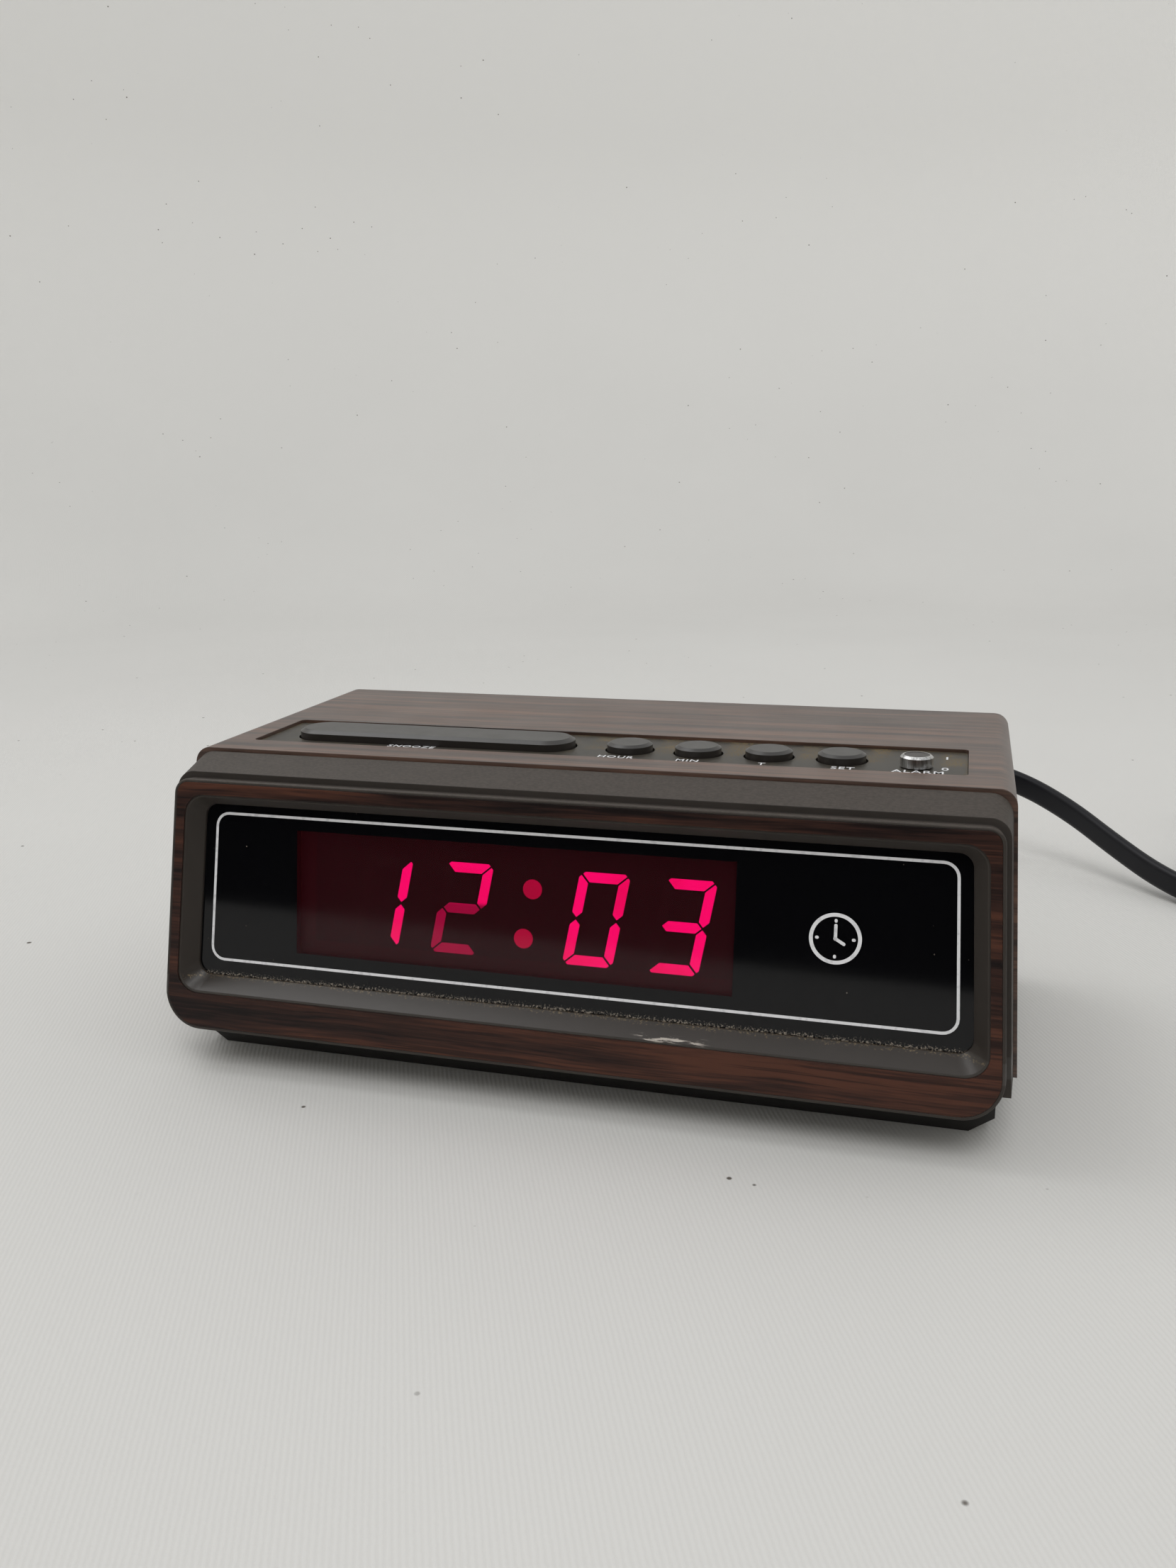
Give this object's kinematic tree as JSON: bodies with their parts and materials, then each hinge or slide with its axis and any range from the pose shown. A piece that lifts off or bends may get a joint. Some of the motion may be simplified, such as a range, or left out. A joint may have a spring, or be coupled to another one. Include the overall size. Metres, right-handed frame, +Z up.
{
  "type": "mains digital alarm clock",
  "caption": "Wedge-fronted woodgrain alarm clock with a glowing digit window, a row of push buttons, a snooze bar, a slide switch and a coiled mains cord.",
  "frame": {"origin": "middle of the case's width and depth, at the level of the surface it stands on", "axes": "+Z up; +X to the right as seen from the front; the display faces -Y and leans back"},
  "size_m": [0.3309, 0.2902, 0.0727],
  "materials": {
    "cabinet": "dark woodgrain print, low sheen",
    "bezel": "dark brown moulding, fine texture",
    "woodgrain_foil": "reddish brown woodgrain foil, semi-gloss",
    "lens": "black, polished",
    "red_window": "clear dark red sheet, polished",
    "reflector": "black",
    "segment_lit": "lit diffusing insert",
    "segment_dark": "unlit diffusing insert",
    "circuit_board": "brown paper laminate with copper tracks",
    "steel": "zinc plated",
    "base": "black moulding, fine texture",
    "chip": "black epoxy, tinned legs",
    "capacitor_sleeve": "dark blue shrink sleeve",
    "diode_body": "black body with a pale band",
    "resistor_body": "tan body with colour bands",
    "buzzer": "black",
    "lamination": "varnished steel laminations",
    "bobbin": "off-white nylon",
    "winding_tape": "yellow tape over copper wire",
    "control_strip": "dark grey-green, matt",
    "button": "grey-green, semi-gloss top and darker sides",
    "plunger": "off-white nylon",
    "spring": "bright spring wire",
    "ribbon": "grey ribbon cable",
    "lead": "insulated wire",
    "knob_metal": "satin, turned",
    "knob_inlay": "dark disc",
    "black_plastic": "black moulding",
    "cord": "black flexible PVC, low sheen",
    "tie": "black band",
    "plug": "black moulded PVC",
    "plug_metal": "nickel plated"
  },
  "bodies": {
    "case": {"cabinet_cover": "cabinet", "front_bezel": "bezel", "woodgrain_trim": "woodgrain_foil", "display_lens": "lens", "red_filter": "red_window", "display_reflector": "reflector", "lit_segments": "segment_lit", "dark_segments": "segment_dark", "colon_dots": "segment_lit", "display_board": "circuit_board", "display_board_screws": "steel", "base_tray": "base", "case_screws": "steel", "main_board": "circuit_board", "main_board_screws": "steel", "clock_chip": "chip", "filter_capacitor": "capacitor_sleeve", "small_capacitors": "capacitor_sleeve", "rectifier_diodes": "diode_body", "board_resistors": "resistor_body", "driver_transistors": "chip", "alarm_buzzer": "buzzer", "transformer_core": "lamination", "transformer_bobbin": "bobbin", "transformer_winding": "winding_tape", "transformer_bracket": "steel", "transformer_screws": "steel", "control_panel": "control_strip", "switch_board": "circuit_board", "switch_board_screws": "steel", "key_switches": "black_plastic", "alarm_switch_body": "black_plastic", "display_ribbon": "ribbon", "switch_ribbon": "ribbon", "inner_leads": "lead", "snooze_springs": "spring", "hour_spring": "spring", "minute_spring": "spring", "time_spring": "spring", "alarm_set_spring": "spring", "strain_relief": "cord", "mains_cord": "cord", "cord_coil": "cord", "cord_tie": "tie", "cord_tail": "cord", "plug_body": "plug", "plug_pins": "plug_metal"},
    "snooze": {"snooze_bar": "button", "snooze_plunger": "plunger"},
    "hour": {"hour_button": "button", "hour_plunger": "plunger"},
    "minute": {"minute_button": "button", "minute_plunger": "plunger"},
    "time": {"time_button": "button", "time_plunger": "plunger"},
    "alarm_set": {"alarm_set_button": "button", "alarm_set_plunger": "plunger"},
    "alarm_slide": {"alarm_slide_knob": "knob_metal", "alarm_slide_inlay": "knob_inlay", "alarm_slide_neck": "black_plastic"}
  },
  "joints": [
    {"name": "snooze_press", "type": "slide", "parent": "case", "child": "snooze", "axis": [0, 0, -1], "range_m": [0, 0.0012], "stiffness_N_per_m": 400, "springref_m": -0.002, "deforming": ["snooze_springs"]},
    {"name": "hour_press", "type": "slide", "parent": "case", "child": "hour", "axis": [0, 0, -1], "range_m": [0, 0.0012], "stiffness_N_per_m": 300, "springref_m": -0.002, "deforming": ["hour_spring"]},
    {"name": "minute_press", "type": "slide", "parent": "case", "child": "minute", "axis": [0, 0, -1], "range_m": [0, 0.0012], "stiffness_N_per_m": 300, "springref_m": -0.002, "deforming": ["minute_spring"]},
    {"name": "time_press", "type": "slide", "parent": "case", "child": "time", "axis": [0, 0, -1], "range_m": [0, 0.0012], "stiffness_N_per_m": 300, "springref_m": -0.002, "deforming": ["time_spring"]},
    {"name": "alarm_set_press", "type": "slide", "parent": "case", "child": "alarm_set", "axis": [0, 0, -1], "range_m": [0, 0.0012], "stiffness_N_per_m": 300, "springref_m": -0.002, "deforming": ["alarm_set_spring"]},
    {"name": "alarm_switch_slide", "type": "slide", "parent": "case", "child": "alarm_slide", "axis": [0, 1, 0], "range_m": [0, 0.006]}
  ]
}
